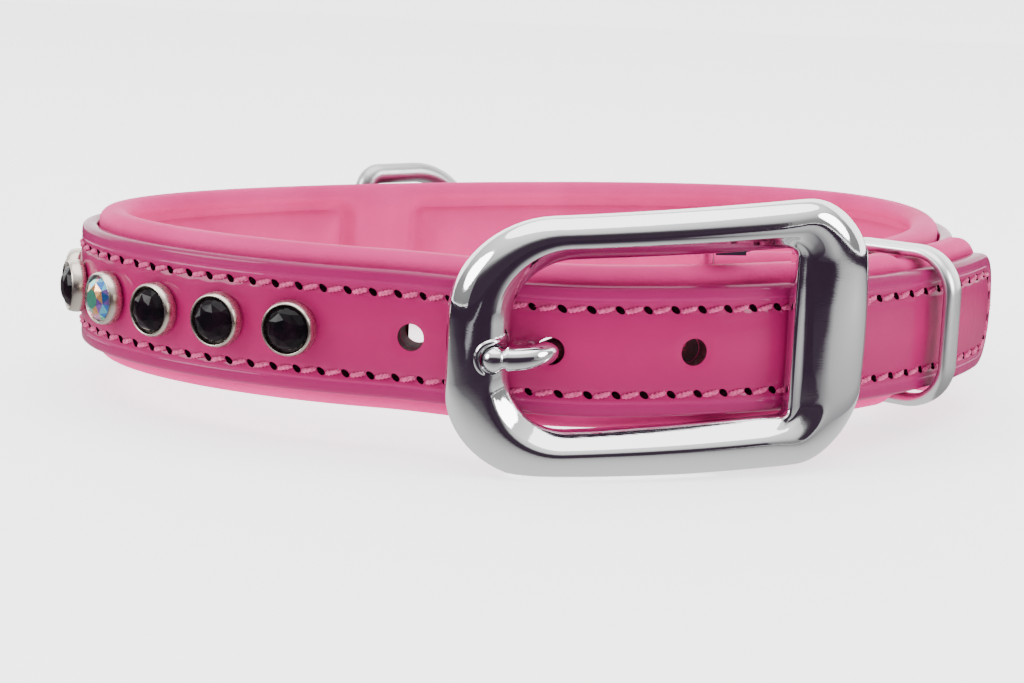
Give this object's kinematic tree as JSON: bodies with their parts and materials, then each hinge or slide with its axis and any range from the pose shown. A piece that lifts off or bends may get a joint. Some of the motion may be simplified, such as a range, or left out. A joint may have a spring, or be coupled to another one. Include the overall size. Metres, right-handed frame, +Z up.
{
  "type": "dog collar",
  "caption": "Buckled dog collar: glossy strap on a wider padded lining, studs with faceted stones, frame buckle with tongue and keeper, and a hinged D-ring for a lead.",
  "frame": {"origin": "the middle of the collar's box, on the surface it stands on", "axes": "+X along the collar's long way, to the right of the front; +Y from the buckle to the back; +Z up"},
  "size_m": [0.1624, 0.1356, 0.0423],
  "materials": {
    "patent_leather": "patent, glossy",
    "soft_leather": "soft, fine grain",
    "chrome": "polished",
    "satin_nickel": "satin",
    "jet_glass": "polished facets",
    "coated_clear_glass": "polished facets with a rainbow coating"
  },
  "bodies": {
    "collar": {"strap": "patent_leather", "lining": "soft_leather", "buckle_frame": "chrome", "buckle_tongue": "chrome", "keeper": "chrome", "stud_01_setting": "satin_nickel", "stud_01_stone": "jet_glass", "stud_02_setting": "satin_nickel", "stud_02_stone": "jet_glass", "stud_03_setting": "satin_nickel", "stud_03_stone": "jet_glass", "stud_04_setting": "satin_nickel", "stud_04_stone": "coated_clear_glass", "stud_05_setting": "satin_nickel", "stud_05_stone": "jet_glass", "stud_06_setting": "satin_nickel", "stud_06_stone": "jet_glass", "stud_07_setting": "satin_nickel", "stud_07_stone": "jet_glass", "stud_08_setting": "satin_nickel", "stud_08_stone": "coated_clear_glass", "stud_09_setting": "satin_nickel", "stud_09_stone": "jet_glass"},
    "lead_ring": {"d_ring": "chrome"}
  },
  "joints": [
    {"name": "lead_ring_hinge", "type": "hinge", "parent": "collar", "child": "lead_ring", "pos_m": [-0.03291, 0.04151, 0.01585], "axis": [0, 0.0333, 0.9994], "range_deg": [0, 160]}
  ]
}
